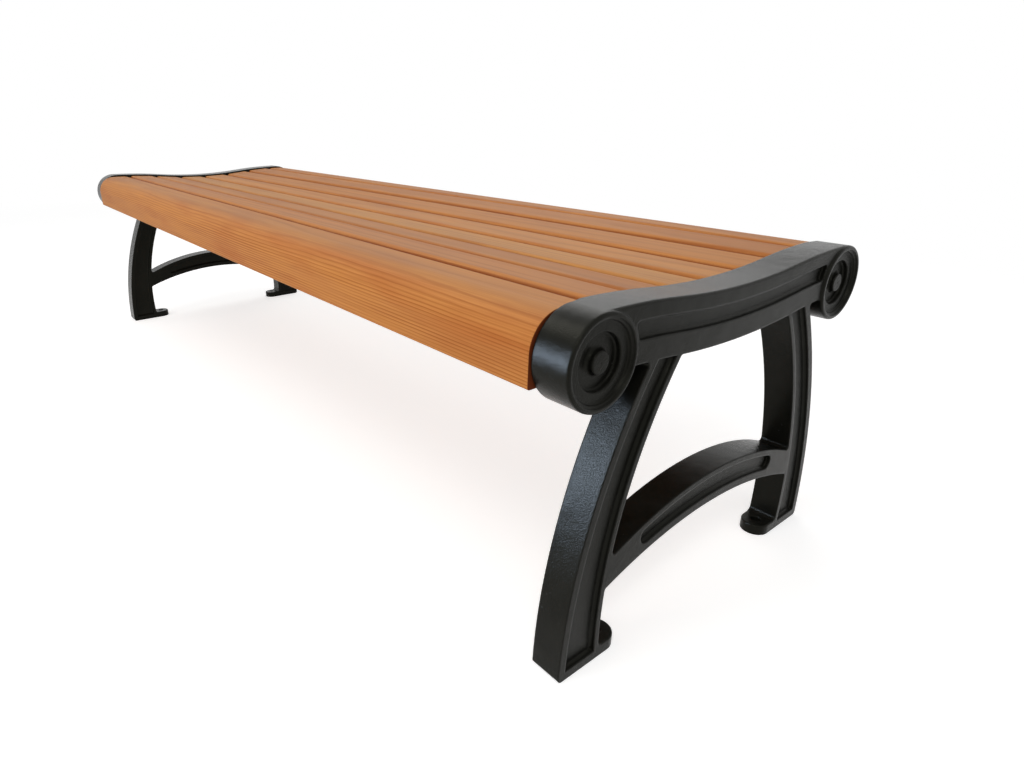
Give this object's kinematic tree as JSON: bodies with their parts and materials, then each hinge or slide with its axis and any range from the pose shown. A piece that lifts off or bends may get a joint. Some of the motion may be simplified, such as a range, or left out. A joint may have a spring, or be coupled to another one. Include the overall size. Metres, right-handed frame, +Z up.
{
  "type": "garden bench",
  "caption": "Backless garden bench with a gently dished seat of timber slats carried by two cast end frames with scroll ends, curved legs and an arched stretcher",
  "frame": {"origin": "on the ground, under the middle of the seat", "axes": "+X along the bench, +Y from the front edge to the back edge, +Z up"},
  "size_m": [1.829, 0.586, 0.429],
  "materials": {
    "casting": "satin black paint over a cast surface",
    "timber": "oiled softwood with fine straight grain",
    "strap": "satin black paint",
    "fasteners": "zinc-plated steel"
  },
  "bodies": {
    "root": {"right_end_frame": "casting", "left_end_frame": "casting", "front_nose_slat": "timber", "seat_slat_1": "timber", "seat_slat_2": "timber", "seat_slat_3": "timber", "seat_slat_4": "timber", "seat_slat_5": "timber", "seat_slat_6": "timber", "rear_nose_slat": "timber", "centre_support_strap": "strap", "front_nose_screws": "fasteners", "seat_slat_1_screws": "fasteners", "seat_slat_2_screws": "fasteners", "seat_slat_3_screws": "fasteners", "seat_slat_4_screws": "fasteners", "seat_slat_5_screws": "fasteners", "seat_slat_6_screws": "fasteners", "rear_nose_screws": "fasteners", "front_nose_washers": "fasteners", "seat_slat_1_washers": "fasteners", "seat_slat_2_washers": "fasteners", "seat_slat_3_washers": "fasteners", "seat_slat_4_washers": "fasteners", "seat_slat_5_washers": "fasteners", "seat_slat_6_washers": "fasteners", "rear_nose_washers": "fasteners"}
  },
  "joints": []
}
